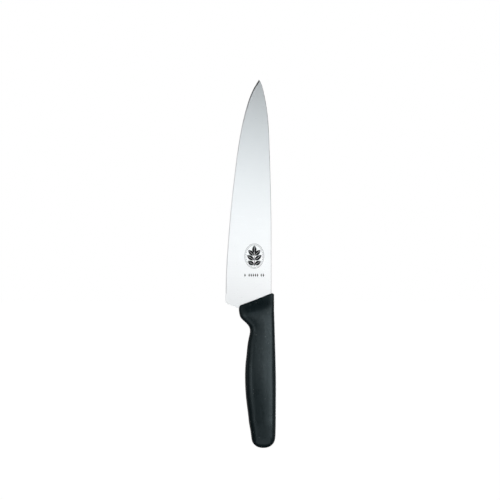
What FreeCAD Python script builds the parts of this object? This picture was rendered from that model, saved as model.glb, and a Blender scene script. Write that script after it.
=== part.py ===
"""Chef's knife: a flat-ground stamped steel blade with a hidden tang, and a nylon handle moulded on it.

Millimetres. The knife stands upright: +Z runs from the butt of the handle to the point of the blade,
the cutting edge faces -X, the spine faces +X, and the blade's two flat sides face -Y and +Y.
The origin is under the middle of the butt, at the bottom centre of the knife's box.
"""

import FreeCAD, Part

import math
import os

from FreeCAD import Vector

# Blade
STOCK = 2.2  # thickness of the sheet
SPINE_HALF_THICKNESS = 1.08  # at the spine beside the handle, after grinding
SPINE_X = 17.2  # the straight rear part of the spine
POINT_X = 6.9
POINT_Z = 308.4
HEEL_X = -21.5
HEEL_HALF_THICKNESS = 0.26
POINT_HALF_THICKNESS = 0.40
BLANK_MARGIN = 0.5  # the blank's cutting side stands this far outside the sharpened edge
BEVEL_ANGLE = 17.0  # degrees a side
EDGE_LAND = 0.04  # width of the very edge
SPINE_EDGE_RADIUS = 0.25
BEVEL_START_Z = 129.2  # below this the heel is left unsharpened

# Grinding cutter: a block with a V groove, which takes away all steel outside the edge's two bevels
CUTTER_DEPTH = 3.0  # how far the groove reaches into the blade
CUTTER_BACK = 2.0  # how far the block reaches outside the edge
CUTTER_HALF_WIDTH = 4.0

# Tang
TANG_RELIEF = 0.05  # the steel inside the handle lies this far under the blade's ground sides
TANG_END_Z = 40.0
KEY_HOLE_RADIUS = 3.0
KEY_HOLE_CENTRES_Z = (60.0, 92.0)

# Handle
GUARD_X = -9.85  # tip of the finger guard
HANDLE_BACK_X = 19.6
FRONT_GUARD_Z = 119.1  # height of the handle's front at the guard, at its middle and at the back
FRONT_MIDDLE = (4.9, 124.6)
FRONT_BACK_Z = 130.7
GUARD_CORNER_RADIUS = 4.0
BACK_CORNER_RADIUS = 2.3
FRONT_EDGE_RADIUS = 1.0
FRONT_EDGES_Z = 105.0  # the front's edges all lie above this
SECTION_POWER = 2.6  # roundness of the cross-section: 2 is an ellipse
BUTT_HEIGHT = 10.0
BUTT_POWER = 2.2
BUTT_CENTRE_X = 10.5
BUTT_HALF_WIDTH = 10.2
BUTT_HALF_THICKNESS = 7.3
SECTION_POINTS = 28
BUTT_SHARES = (0.2, 0.4, 0.6, 0.78, 0.92, 1.0)  # sizes of the butt's sections, of its full size

REACH = 400.0  # larger than the knife, for cutting planes
CLEAR = 40.0  # clear of the handle on every side


def at(x, z, y=0.0):
    return Vector(x, y, z)


def line(*points):
    """Straight edges through the points."""
    return [Part.makeLine(a, b) for a, b in zip(points, points[1:])]


def arc(start, middle, end):
    return [Part.Arc(start, middle, end).toShape()]


def curve(*points):
    """A smooth edge through the points."""
    spline = Part.BSplineCurve()
    spline.interpolate(list(points))
    return [spline.toShape()]


def plate(edges, half_thickness):
    """A flat plate with this outline, centred on the plane Y = 0."""
    outline = Part.Wire(Part.__sortEdges__(edges))
    face = Part.Face(outline)
    face.translate(Vector(0, -half_thickness, 0))
    return face.extrude(Vector(0, 2 * half_thickness, 0))


def outer_space(a, b, c):
    """Everything on the +Y side of the plane through three points."""
    normal = (b - a).cross(c - a).normalize()
    if normal.y < 0:
        normal = -normal
    side = Vector(0, 0, 1).cross(normal).normalize()
    up = normal.cross(side)
    middle = (a + b + c) / 3
    signs = ((-1, -1), (1, -1), (1, 1), (-1, 1))
    corners = [middle + side * (i * REACH) + up * (j * REACH) for i, j in signs]
    return Part.Face(Part.makePolygon(corners + corners[:1])).extrude(normal * REACH)


def rounded(body, radius, wanted):
    """Rounds those of the body's edges whose middle point is wanted."""
    edges = [e for e in body.Edges if wanted(e.valueAt((e.FirstParameter + e.LastParameter) / 2))]
    return body.makeFillet(radius, edges)


def cut_both_sides(body, cutter):
    """Takes the cutter and its mirror image in Y = 0 away from the body."""
    return body.cut(cutter).cut(cutter.mirror(Vector(0, 0, 0), Vector(0, 1, 0)))


# ---------------------------------------------------------------- outlines in the XZ plane

# Sharpened edge, from the point down to the heel.
EDGE_LINE = (
    (POINT_X, POINT_Z), (4.1, 304.0), (0.3, 296.5), (-3.2, 286.4), (-7.0, 271.3), (-10.6, 251.5),
    (-13.8, 226.5), (-16.6, 200.9), (-18.7, 175.8), (-20.2, 155.6), (-20.9, 139.0), (-21.0, BEVEL_START_Z),
)

# Spine, from the point down to where it runs straight.
SPINE_LINE = (
    (POINT_X, POINT_Z), (8.4, 306.0), (10.0, 301.2), (12.2, 291.4), (13.8, 281.4), (15.3, 261.2),
    (16.3, 231.1), (17.0, 200.9), (SPINE_X, 172.0),
)


def steel_outline():
    """The blank: the blade's outline, its heel and the hidden tang."""
    cutting_side = curve(*[at(x - BLANK_MARGIN, z) for x, z in EDGE_LINE])
    spine = curve(*[at(x, z) for x, z in SPINE_LINE])
    top = line(at(POINT_X, POINT_Z), at(POINT_X - BLANK_MARGIN, POINT_Z))
    heel = line(at(HEEL_X, BEVEL_START_Z), at(HEEL_X, 124.6))
    heel += arc(at(HEEL_X, 124.6), at(-20.9, 121.9), at(-19.2, 120.4))
    shoulder = line(at(-19.2, 120.4), at(-6.0, 115.0), at(1.5, 112.0))
    shoulder += arc(at(1.5, 112.0), at(3.5, 110.2), at(4.0, 107.5))
    tang = line(at(4.0, 107.5), at(5.5, TANG_END_Z + 4.0))
    tang += arc(at(5.5, TANG_END_Z + 4.0), at(10.0, TANG_END_Z), at(14.5, TANG_END_Z + 4.0))
    tang += line(at(14.5, TANG_END_Z + 4.0), at(15.2, 115.0))
    rear = arc(at(15.2, 115.0), at(15.8, 117.8), at(SPINE_X, 120.0))
    rear += line(at(SPINE_X, 120.0), at(*SPINE_LINE[-1]))
    return cutting_side + spine + top + heel + shoulder + tang + rear


def make_front_plate():
    """A plate that holds all of the handle and none of what lies in front of it."""
    gap = 0.3  # the plate's corners stand this far outside the handle
    step = 5.0  # and have straight sides this long
    guard_corner = at(GUARD_X - gap, FRONT_GUARD_Z)
    back_corner = at(HANDLE_BACK_X + gap, FRONT_BACK_Z)
    guard_side = guard_corner - Vector(0, 0, step)
    back_side = back_corner - Vector(0, 0, step)
    outline = arc(guard_corner, at(*FRONT_MIDDLE), back_corner)
    outline += line(
        back_corner, back_side, at(CLEAR, back_side.z), at(CLEAR, -CLEAR),
        at(-CLEAR, -CLEAR), at(-CLEAR, guard_side.z), guard_side, guard_corner,
    )
    sharp = plate(outline, CLEAR)
    half_rounded = rounded(sharp, GUARD_CORNER_RADIUS, lambda m: (m - guard_corner).Length < 0.01)
    return rounded(half_rounded, BACK_CORNER_RADIUS, lambda m: (m - back_corner).Length < 0.01)


# ---------------------------------------------------------------- steel

def ground_side(relief=0.0):
    """The space beside the blade's +Y ground side, or beside a parallel plane this far under it."""
    return outer_space(
        at(SPINE_X, 130.0, SPINE_HALF_THICKNESS - relief),
        at(HEEL_X, 125.0, HEEL_HALF_THICKNESS - relief),
        at(POINT_X, POINT_Z, POINT_HALF_THICKNESS - relief),
    )


def sharpening():
    """Everything outside the V of the cutting edge, swept along the edge."""
    beyond_point = at(POINT_X + 2.0, POINT_Z + 3.0)
    path = Part.Wire(curve(beyond_point, *[at(x, z) for x, z in EDGE_LINE]))
    start = path.Edges[0].valueAt(path.Edges[0].FirstParameter)
    along = path.Edges[0].tangentAt(path.Edges[0].FirstParameter)
    inward = Vector(0, 1, 0).cross(along)
    if inward.x < 0:
        inward = -inward
    land = EDGE_LAND / 2
    rise = land + CUTTER_DEPTH * math.tan(math.radians(BEVEL_ANGLE))
    groove = ((0, land), (CUTTER_DEPTH, rise))
    upper_half = groove + ((CUTTER_DEPTH, CUTTER_HALF_WIDTH), (-CUTTER_BACK, CUTTER_HALF_WIDTH))
    profile = upper_half + tuple((d, -y) for d, y in reversed(upper_half))
    corners = [start + inward * d + Vector(0, y, 0) for d, y in profile]
    sweep = Part.BRepOffsetAPI.MakePipeShell(path)
    sweep.setBiNormalMode(Vector(0, 1, 0))
    sweep.add(Part.makePolygon(corners + corners[:1]))
    sweep.build()
    sweep.makeSolid()
    return sweep.shape()


def make_steel(front_plate):
    outline = steel_outline()
    blade = cut_both_sides(plate(outline, STOCK / 2), ground_side())
    blade = rounded(blade, SPINE_EDGE_RADIUS, lambda m: m.x > 7.0 and m.z > 140.0 and abs(m.y) > 0.3)
    blade = blade.cut(front_plate).cut(sharpening())
    tang = cut_both_sides(plate(outline, STOCK / 2 - TANG_RELIEF), ground_side(TANG_RELIEF))
    tang = tang.common(front_plate)
    for z in KEY_HOLE_CENTRES_Z:
        tang = tang.cut(Part.makeCylinder(KEY_HOLE_RADIUS, STOCK * 2, at(9.8, z, -STOCK), Vector(0, 1, 0)))
    return blade.fuse(tang).removeSplitter()


# ---------------------------------------------------------------- handle

# Ends of each cross-section, above the rounded butt: X and Z on the cutting side, X and Z on the back, and
# half the thickness. From the neck up, the sections lean over until they lie along the handle's front.
STATIONS = (
    (-0.6, 16.0, 20.9, 16.0, 7.7),
    (-2.5, 30.0, 21.1, 30.0, 8.1),
    (-4.15, 44.0, 21.25, 44.0, 8.4),
    (-4.8, 58.0, 21.2, 58.0, 8.3),
    (-4.25, 72.0, 20.95, 72.0, 7.7),
    (-3.0, 84.0, 20.6, 84.0, 6.9),
    (-1.7, 92.0, 20.35, 92.5, 6.4),
    (-0.7, 97.0, 20.2, 98.5, 6.2),
    (-1.0, 100.3, 20.05, 103.0, 6.1),
    (-3.2, 103.8, 19.9, 108.0, 6.05),
    (-6.8, 107.2, 19.75, 113.0, 5.95),
    (-9.1, 110.5, 19.68, 118.0, 5.6),
    (GUARD_X, 114.0, 19.62, 122.8, 4.7),
    (GUARD_X, 117.5, HANDLE_BACK_X, 127.6, 3.6),
    (GUARD_X, 121.5, HANDLE_BACK_X, 133.2, 2.2),
)


def section(cutting_x, cutting_z, back_x, back_z, half_thickness):
    """A closed rounded cross-section between two points of the handle's outline."""
    cutting_side = at(cutting_x, cutting_z)
    back = at(back_x, back_z)
    centre = (cutting_side + back) / 2
    half_width = (back - cutting_side) / 2
    points = []
    for i in range(SECTION_POINTS):
        angle = 2 * math.pi * i / SECTION_POINTS
        c = math.cos(angle)
        s = math.sin(angle)
        across = math.copysign(abs(c) ** (2 / SECTION_POWER), c)
        out = math.copysign(abs(s) ** (2 / SECTION_POWER), s)
        points.append(centre + half_width * across + Vector(0, half_thickness * out, 0))
    ring = Part.BSplineCurve()
    ring.interpolate(points, PeriodicFlag=True)
    return Part.Wire(ring.toShape())


def butt_sections():
    rings = []
    for share in BUTT_SHARES:
        z = BUTT_HEIGHT * (1 - (1 - share ** BUTT_POWER) ** (1 / BUTT_POWER))
        half_width = BUTT_HALF_WIDTH * share
        ends = (BUTT_CENTRE_X - half_width, z, BUTT_CENTRE_X + half_width, z)
        rings.append(section(*ends, BUTT_HALF_THICKNESS * share))
    return rings


def make_handle(front_plate, steel):
    body = Part.makeLoft(butt_sections() + [section(*station) for station in STATIONS], True, False)
    body = body.common(front_plate)
    body = rounded(body, FRONT_EDGE_RADIUS, lambda m: m.z > FRONT_EDGES_Z and abs(m.y) > 0.01)
    return body.cut(steel)


def main():
    os.makedirs("parts", exist_ok=True)
    front_plate = make_front_plate()
    blade = make_steel(front_plate)
    handle = make_handle(front_plate, blade)
    box = Part.makeCompound([blade, handle]).optimalBoundingBox()
    to_origin = Vector(-box.Center.x, -box.Center.y, -box.ZMin)
    for name, shape in (("blade", blade), ("handle", handle)):
        shape.translate(to_origin)
        shape.exportStep("parts/" + name + ".step")
        print(name, shape.isValid(), len(shape.Solids), shape.optimalBoundingBox())


main()
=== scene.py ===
"""Looks of the chef's knife: camera, studio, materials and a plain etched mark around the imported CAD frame.

Metres. The knife stands upright with its butt on Z = 0, its cutting edge towards -X, and its marked side
towards -Y.
"""

import math

import bmesh
import bpy
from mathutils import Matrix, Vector


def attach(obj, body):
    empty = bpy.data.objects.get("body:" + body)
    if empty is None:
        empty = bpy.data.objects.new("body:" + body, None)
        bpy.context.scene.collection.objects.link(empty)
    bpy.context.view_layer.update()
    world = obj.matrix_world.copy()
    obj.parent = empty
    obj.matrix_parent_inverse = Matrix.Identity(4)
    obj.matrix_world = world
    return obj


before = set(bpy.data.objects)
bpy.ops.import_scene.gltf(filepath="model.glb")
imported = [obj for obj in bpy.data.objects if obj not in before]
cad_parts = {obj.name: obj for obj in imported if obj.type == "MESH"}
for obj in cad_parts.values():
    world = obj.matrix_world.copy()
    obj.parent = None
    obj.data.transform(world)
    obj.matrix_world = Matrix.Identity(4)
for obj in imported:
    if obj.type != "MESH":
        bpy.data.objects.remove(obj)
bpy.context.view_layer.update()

MM = 0.001

# Camera
PICTURE_WIDTH = 0.419  # across the picture, at the knife
LENS = 85.0  # millimetres, as is the sensor
SENSOR = 36.0
AIM = Vector((-0.0005, 0.0, 0.1656))

# Studio
SURROUND = (0.01, 0.01, 0.01)
FRONT_Y = -1.6  # the plane of the front panels
RING = 1.3  # from the knife's axis to most of the other panels
GRIP = Vector((0.0, 0.0, 0.08))  # those panels face this place
COOL = (0.95, 1.0, 1.02)
COOLER = (0.92, 1.02, 1.06)
FLOOR_DROP = 1.2
FLOOR_SIZE = 60.0
FLOOR_GLOW = 1.0

# Etched mark, on the blade's -Y side
FILM = 0.02 * MM  # thickness of the etched film
EMBLEM_X = 3.1 * MM
EMBLEM_Z = 160.5 * MM
EMBLEM_HALF_WIDTH = 8.15 * MM
EMBLEM_HALF_HEIGHT = 10.45 * MM
ROW_X = 3.0 * MM
ROW_Z = 144.5 * MM


# ---------------------------------------------------------------- node helpers

def new_tree(material_name):
    material = bpy.data.materials.new(material_name)
    material.use_nodes = True
    tree = material.node_tree
    tree.nodes.clear()
    return material, tree


def add(tree, kind, links=None, **values):
    """A new node. Its inputs named in links come from sockets or numbers, and values are its own settings."""
    node = tree.nodes.new("ShaderNode" + kind)
    for key, value in values.items():
        setattr(node, key, value)
    for name, source in (links or {}).items():
        if isinstance(source, bpy.types.NodeSocket):
            tree.links.new(source, node.inputs[name])
        else:
            node.inputs[name].default_value = source
    return node


def stretched(tree, scale):
    """Places on the piece, in metres, multiplied by a scale along each axis."""
    place = add(tree, "TexCoord").outputs["Object"]
    return add(tree, "Mapping", {"Vector": place, "Scale": scale}).outputs["Vector"]


def noise(tree, scale, detail=3.0, roughness=0.5):
    links = {"Vector": stretched(tree, scale), "Scale": 1.0, "Detail": detail, "Roughness": roughness}
    return add(tree, "TexNoise", links).outputs["Fac"]


def remap(tree, value, low, high, to_low, to_high):
    links = {0: value, 1: low, 2: high, 3: to_low, 4: to_high}
    return add(tree, "MapRange", links).outputs[0]


def math_node(tree, operation, first, second=0.0):
    return add(tree, "Math", {0: first, 1: second}, operation=operation).outputs[0]


def blend(tree, share, first, second):
    """A colour between two others, each a socket or red, green and blue."""
    ends = [end if isinstance(end, bpy.types.NodeSocket) else (*end, 1) for end in (first, second)]
    return add(tree, "Mix", {0: share, 6: ends[0], 7: ends[1]}, data_type="RGBA").outputs[2]


def bump(tree, height, distance, strength, under=None):
    links = {"Height": height, "Distance": distance, "Strength": strength}
    if under is not None:
        links["Normal"] = under
    return add(tree, "Bump", links).outputs["Normal"]


def output(tree, skin):
    """Makes a shader the material's surface."""
    add(tree, "OutputMaterial", {"Surface": skin.outputs[0]})


# ---------------------------------------------------------------- camera and studio

def make_camera():
    data = bpy.data.cameras.new("camera")
    data.lens = LENS
    data.sensor_width = SENSOR
    camera = bpy.data.objects.new("camera", data)
    bpy.context.scene.collection.objects.link(camera)
    distance = PICTURE_WIDTH * LENS / SENSOR
    camera.location = AIM - Vector((0, distance, 0))
    camera.rotation_euler = (math.radians(90), 0, 0)
    bpy.context.scene.camera = camera


def make_surround():
    """A background that is white to the camera and gives the knife a dim even light."""
    world = bpy.data.worlds.new("studio")
    world.use_nodes = True
    tree = world.node_tree
    tree.nodes.clear()
    dim = add(tree, "Background", {"Color": (*SURROUND, 1)})
    white = add(tree, "Background", {"Color": (1, 1, 1, 1)})
    seen = add(tree, "LightPath").outputs["Is Camera Ray"]
    both = add(tree, "MixShader", {0: seen, 1: dim.outputs[0], 2: white.outputs[0]})
    add(tree, "OutputWorld", {"Surface": both.outputs[0]})
    bpy.context.scene.world = world
    bpy.context.scene.view_settings.view_transform = "Standard"


def soft_light(name, place, aim, width, height, radiance, colour=(1, 1, 1), only=None):
    """A rectangular panel of even light, facing aim. With only, it lights nothing but that collection."""
    data = bpy.data.lights.new(name, "AREA")
    data.shape = "RECTANGLE"
    data.size = width
    data.size_y = height
    data.energy = radiance * width * height * math.pi
    data.color = colour
    light = bpy.data.objects.new(name, data)
    light.location = place
    light.rotation_euler = (Vector(aim) - Vector(place)).to_track_quat("-Z", "Y").to_euler()
    light.visible_camera = False
    light.light_linking.receiver_collection = only
    bpy.context.scene.collection.objects.link(light)


def front_light(name, left, right, bottom, top, radiance, colour=(1, 1, 1)):
    """A panel in front of the knife, between these edges, facing straight back."""
    x = (left + right) / 2
    z = (bottom + top) / 2
    soft_light(name, (x, FRONT_Y, z), (x, 0, z), right - left, top - bottom, radiance, colour)


def around(azimuth, height, distance=RING):
    """A place around the knife. Azimuth 0 is the camera's side, and 90 is +X."""
    a = math.radians(azimuth)
    return Vector((math.sin(a) * distance, -math.cos(a) * distance, height))


def alone(node):
    """A collection that holds one CAD piece, for the lights that reach no other."""
    group = bpy.data.collections.new(node + "_alone")
    group.objects.link(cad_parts[node])
    return group


def make_lights():
    """Panels all round. The grip panels light the handle alone, as the blade would mirror them as white."""
    front_light("front_upper", -0.65, 0.11, 0.25, 0.50, 1.46, COOLER)
    front_light("front_lower", -0.65, 0.11, 0.0, 0.25, 1.79)
    front_light("front_right", 0.11, 0.32, 0.0, 0.25, 4.2)
    soft_light("overhead", around(0, 1.6, 0.5), GRIP, 1.2, 1.2, 0.4)
    soft_light("below", around(0, -1.1), GRIP, 3.0, 1.6, 1.15, (0.98, 1.0, 1.02))
    soft_light("wide_right", around(42, 0.15), GRIP, 1.0, 0.9, 0.7)
    soft_light("wide_left", around(-45, 0.15), GRIP, 0.8, 0.9, 0.7)
    soft_light("side_right", around(90, 0.10, 1.5), GRIP, 0.5, 0.6, 0.35)
    soft_light("side_right_low", around(90, -0.15), GRIP, 0.4, 0.4, 0.35)
    soft_light("side_left", around(-90, 0.10, 1.5), GRIP, 0.5, 0.6, 0.6)
    soft_light("rear", around(180, 0.25, 1.6), GRIP, 0.8, 0.5, 1.0)
    soft_light("rear_high", around(180, 1.4), GRIP, 1.6, 1.0, 0.5)
    for side in (-1, 1):
        soft_light("rear_side_" + str(side), around(180 - 40 * side, 0.05), GRIP, 0.35, 0.40, 1.1)
        soft_light("rear_low_" + str(side), around(180 - 45 * side, -0.45, 1.2), GRIP, 0.6, 0.6, 0.7)
        soft_light("rear_top_" + str(side), around(180 - 45 * side, 0.75, 1.2), GRIP, 0.6, 0.6, 0.55)

    blade = alone("blade")
    soft_light("blade_rear_low", around(180, -0.45, 1.2), GRIP, 0.9, 0.7, 0.8, only=blade)
    soft_light("blade_rear_top", around(180, 0.75, 1.2), GRIP, 0.9, 0.5, 0.6, only=blade)

    handle = alone("handle")
    soft_light("grip_left", around(-38, -0.03), GRIP, 0.32, 0.30, 2.8, COOL, handle)
    soft_light("grip_rear", around(170, 0.0), GRIP, 0.6, 0.34, 3.0, COOL, handle)
    strengths = ((13, 3.6, 1.5), (24, 3.9, 0.1), (35, 3.3, 2.5), (46, 5.1, 2.6), (58, 2.4, 6.0))
    for azimuth, upper, lower in strengths:
        name = "grip_right_" + str(azimuth)
        soft_light(name + "_upper", around(azimuth, 0.09), GRIP, 0.24, 0.30, upper, COOL, handle)
        soft_light(name + "_lower", around(azimuth, -0.15), GRIP, 0.24, 0.18, lower, COOL, handle)


def make_floor():
    """A large white floor that only the camera sees, so that it adds no light to the knife."""
    mesh = bpy.data.meshes.new("floor")
    half = FLOOR_SIZE / 2
    corners = [(x * half, y * half, -FLOOR_DROP) for x, y in ((-1, -1), (1, -1), (1, 1), (-1, 1))]
    mesh.from_pydata(corners, [], [(0, 1, 2, 3)])
    floor = bpy.data.objects.new("floor", mesh)
    bpy.context.scene.collection.objects.link(floor)
    material, tree = new_tree("floor")
    glow = {"Emission Color": (1, 1, 1, 1), "Emission Strength": FLOOR_GLOW}
    output(tree, add(tree, "BsdfPrincipled", {"Base Color": (0.9, 0.9, 0.9, 1), "Roughness": 0.8, **glow}))
    mesh.materials.append(material)
    floor.visible_diffuse = False
    floor.visible_glossy = False


# ---------------------------------------------------------------- materials

def make_steel():
    """Satin blade steel: fine grinding lines across the blade, a painted dark line of shade along the spine's
    rounded corners, and a duller spine.
    """
    bright = (0.875, 0.88, 0.885)
    satin = (0.825, 0.83, 0.835)
    # A near-black colour painted on the spine's rounded corners as painted shade, not the steel's own colour.
    painted_corner_shade = (0.03, 0.033, 0.036)
    dull = (0.45, 0.46, 0.47)
    material, tree = new_tree("satin_steel")
    fine = noise(tree, (60.0, 60.0, 9000.0), detail=4.0, roughness=0.6)
    coarse = noise(tree, (12.0, 12.0, 900.0))
    facing = add(tree, "SeparateXYZ", {0: add(tree, "NewGeometry").outputs["Normal"]}).outputs["X"]
    # Where the painted shade goes: faces turned a little towards +X, on the spine's rounded corners.
    on_shaded_corner = remap(tree, facing, 0.03, 0.12, 0.0, 1.0)
    on_spine = remap(tree, facing, 0.9, 0.97, 0.0, 1.0)
    sides_and_corner_shade = blend(tree, on_shaded_corner, blend(tree, coarse, satin, bright), painted_corner_shade)
    skin = add(tree, "BsdfPrincipled", {"Metallic": 1.0})
    tree.links.new(blend(tree, on_spine, sides_and_corner_shade, dull), skin.inputs["Base Color"])
    tree.links.new(remap(tree, fine, 0.3, 0.7, 0.27, 0.33), skin.inputs["Roughness"])
    tree.links.new(bump(tree, fine, 0.01 * MM, 0.15), skin.inputs["Normal"])
    output(tree, skin)
    return material


def glint_specks(tree):
    """Sparse small pale specks, about half a millimetre across, painted as glints of the grain catching the
    light: 1 in a speck and 0 elsewhere.
    """
    cells = add(tree, "TexVoronoi", {"Vector": stretched(tree, (400.0, 400.0, 300.0)), "Scale": 1.0})
    chance = add(tree, "SeparateXYZ", {0: cells.outputs["Color"]}).outputs["X"]
    marked = remap(tree, chance, 0.70, 0.72, 0.0, 1.0)
    return math_node(tree, "MULTIPLY", marked, remap(tree, cells.outputs["Distance"], 0.07, 0.14, 1.0, 0.0))


def make_nylon():
    """Black moulded nylon: a pebbled grain, uneven gloss, pale specks painted as glints of the grain, and the
    mould's parting line.
    """
    dark = (0.0045, 0.009, 0.0105)
    light = (0.007, 0.0125, 0.0145)
    # The pale colour of the specks is a painted glint: the grain catching the light.
    painted_glint = (0.10, 0.11, 0.11)
    seam_half_width = 0.3 * MM
    seam_height = 0.06 * MM
    grain_height = 0.05 * MM
    material, tree = new_tree("black_nylon")
    patches = noise(tree, (260.0, 260.0, 160.0))
    pebbles = noise(tree, (1500.0, 1500.0, 1500.0), detail=2.0)
    across = add(tree, "SeparateXYZ", {0: add(tree, "TexCoord").outputs["Object"]}).outputs["Y"]
    from_seam = math_node(tree, "ABSOLUTE", across)
    seam = remap(tree, from_seam, 0.08 * MM, seam_half_width, 1.0, 0.0)
    gloss = {"IOR": 1.5, "Specular IOR Level": 0.27, "Specular Tint": (0.82, 0.96, 1.0, 1)}
    skin = add(tree, "BsdfPrincipled", gloss)
    tone = blend(tree, patches, dark, light)
    tree.links.new(blend(tree, glint_specks(tree), tone, painted_glint), skin.inputs["Base Color"])
    tree.links.new(remap(tree, patches, 0.3, 0.7, 0.26, 0.31), skin.inputs["Roughness"])
    grained = bump(tree, pebbles, grain_height, 0.35)
    tree.links.new(bump(tree, seam, seam_height, 0.6, grained), skin.inputs["Normal"])
    output(tree, skin)
    return material


def make_etching():
    """The dark oxide of an etched mark, a little patchy."""
    dark = (0.005, 0.005, 0.006)
    light = (0.02, 0.02, 0.021)
    material, tree = new_tree("etched_oxide")
    patches = noise(tree, (1300.0, 1300.0, 1300.0), detail=4.0, roughness=0.6)
    skin = add(tree, "BsdfPrincipled", {"Specular IOR Level": 0.2})
    tree.links.new(blend(tree, patches, dark, light), skin.inputs["Base Color"])
    tree.links.new(remap(tree, patches, 0.3, 0.7, 0.5, 0.7), skin.inputs["Roughness"])
    output(tree, skin)
    return material


def paint(node, material):
    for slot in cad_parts[node].material_slots:
        slot.material = material


# ---------------------------------------------------------------- etched mark

def marked_side():
    """A point on the blade's flat -Y side, with its outward normal."""
    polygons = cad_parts["blade"].data.polygons
    facing = [p for p in polygons if p.normal.y < -0.99]
    largest = max(facing, key=lambda p: p.area)
    return Vector(largest.center), Vector(largest.normal)


class Film:
    """Flat shapes of one thin film on the blade's marked side, drawn in X and Z."""

    def __init__(self, name):
        self.name = name
        self.mesh = bmesh.new()
        self.point, self.normal = marked_side()

    def place(self, x, z, height):
        """A new vertex over this place on the blade's side."""
        n = self.normal
        y = self.point.y - (n.x * (x - self.point.x) + n.z * (z - self.point.z)) / n.y
        return self.mesh.verts.new(Vector((x, y, z)) + n * height)

    def loop(self, outline, height):
        return [self.place(x, z, height) for x, z in outline]

    def fill(self, outline):
        """A solid patch with this outline, counter-clockwise as seen from the marked side."""
        low = self.loop(outline, 0.0)
        high = self.loop(outline, FILM)
        self.mesh.faces.new(high)
        self.mesh.faces.new(list(reversed(low)))
        self.join(low, high)

    def join(self, low, high):
        """Faces between two closed loops of vertices."""
        for i in range(len(low)):
            j = (i + 1) % len(low)
            self.mesh.faces.new((low[i], low[j], high[j], high[i]))

    def band(self, outer, inner):
        """A closed band between two outlines with the same number of points."""
        outer_low, outer_high = self.loop(outer, 0.0), self.loop(outer, FILM)
        inner_low, inner_high = self.loop(inner, 0.0), self.loop(inner, FILM)
        self.join(outer_low, outer_high)
        self.join(list(reversed(inner_low)), list(reversed(inner_high)))
        self.join(outer_high, inner_high)
        self.join(inner_low, outer_low)

    def finish(self, material):
        bmesh.ops.recalc_face_normals(self.mesh, faces=self.mesh.faces)
        data = bpy.data.meshes.new(self.name)
        self.mesh.to_mesh(data)
        self.mesh.free()
        data.materials.append(material)
        piece = bpy.data.objects.new(self.name, data)
        bpy.context.scene.collection.objects.link(piece)
        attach(piece, "root")


def oval(centre_x, centre_z, half_width, half_height, count):
    """Points on an oval, counter-clockwise as seen from the marked side."""
    turns = [2 * math.pi * i / count for i in range(count)]
    return [(centre_x + half_width * math.cos(t), centre_z + half_height * math.sin(t)) for t in turns]


def half_leaf(base, angle, length, side):
    """One side of a pointed leaf, widest near its base, with a bare vein between it and the other side."""
    steps = 14
    width = 3.7 * MM
    vein = 0.07 * MM
    rim = []
    for i in range(steps + 1):
        along = i / steps
        out = vein + width / 2 * math.sin(math.pi * along) ** 0.8 * (1.15 - 0.45 * along)
        rim.append((along * length, side * out))
    points = [(0.0, side * vein), *rim[1:-1], (length, side * vein)]
    c = math.cos(angle)
    s = math.sin(angle)
    turned = [(base[0] + c * a - s * b, base[1] + s * a + c * b) for a, b in points]
    return turned if side < 0 else list(reversed(turned))


def make_emblem(material):
    """A plain oval: a thin ring, a border of beads and a sprig of leaves."""
    film = Film("etched_emblem")
    ring = (EMBLEM_X, EMBLEM_Z)
    line_width = 0.22 * MM
    bead_radius = 0.3 * MM
    film.band(
        oval(*ring, EMBLEM_HALF_WIDTH, EMBLEM_HALF_HEIGHT, 72),
        oval(*ring, EMBLEM_HALF_WIDTH - line_width, EMBLEM_HALF_HEIGHT - line_width, 72),
    )
    inset = 1.05 * MM
    beads = 40
    for x, z in oval(*ring, EMBLEM_HALF_WIDTH - inset, EMBLEM_HALF_HEIGHT - inset, beads):
        film.fill(oval(x, z, bead_radius, bead_radius, 10))

    foot = 0.35 * MM  # half the stem's width where it starts, and then where it ends
    tip = 0.12 * MM
    stem_bottom = EMBLEM_Z - 8.3 * MM
    stem_top = stem_bottom + 10.7 * MM
    pairs = ((1.0, 6.1, 58), (4.9, 7.2, 54), (8.8, 6.6, 46))  # height on the stem, length, degrees off it
    for height, length, spread in pairs:
        for side in (-1, 1):
            base = (EMBLEM_X + side * foot, stem_bottom + height * MM)
            angle = math.radians(90 - side * spread)
            for half in (-1, 1):
                film.fill(half_leaf(base, angle, length * MM, half))
    top_leaf = (EMBLEM_X, stem_bottom + 10.9 * MM)
    for half in (-1, 1):
        film.fill(half_leaf(top_leaf, math.radians(90), 6.4 * MM, half))
    film.fill([
        (EMBLEM_X - foot, stem_bottom), (EMBLEM_X + foot, stem_bottom),
        (EMBLEM_X + tip, stem_top), (EMBLEM_X - tip, stem_top),
    ])
    film.finish(material)


def make_row(material):
    """A row of plain lozenges under the emblem, in three groups."""
    film = Film("etched_row")
    pitch = 1.75 * MM
    half_width = 0.62 * MM
    half_height = 1.5 * MM
    places = (-4.4, -2.4, -1.4, -0.4, 0.6, 1.6, 3.4, 4.4)  # in pitches from the middle
    for place in places:
        x = ROW_X + place * pitch
        film.fill([
            (x, ROW_Z - half_height), (x + half_width, ROW_Z),
            (x, ROW_Z + half_height), (x - half_width, ROW_Z),
        ])
    film.finish(material)


make_camera()
make_surround()
make_lights()
make_floor()
paint("blade", make_steel())
paint("handle", make_nylon())
etching = make_etching()
make_emblem(etching)
make_row(etching)
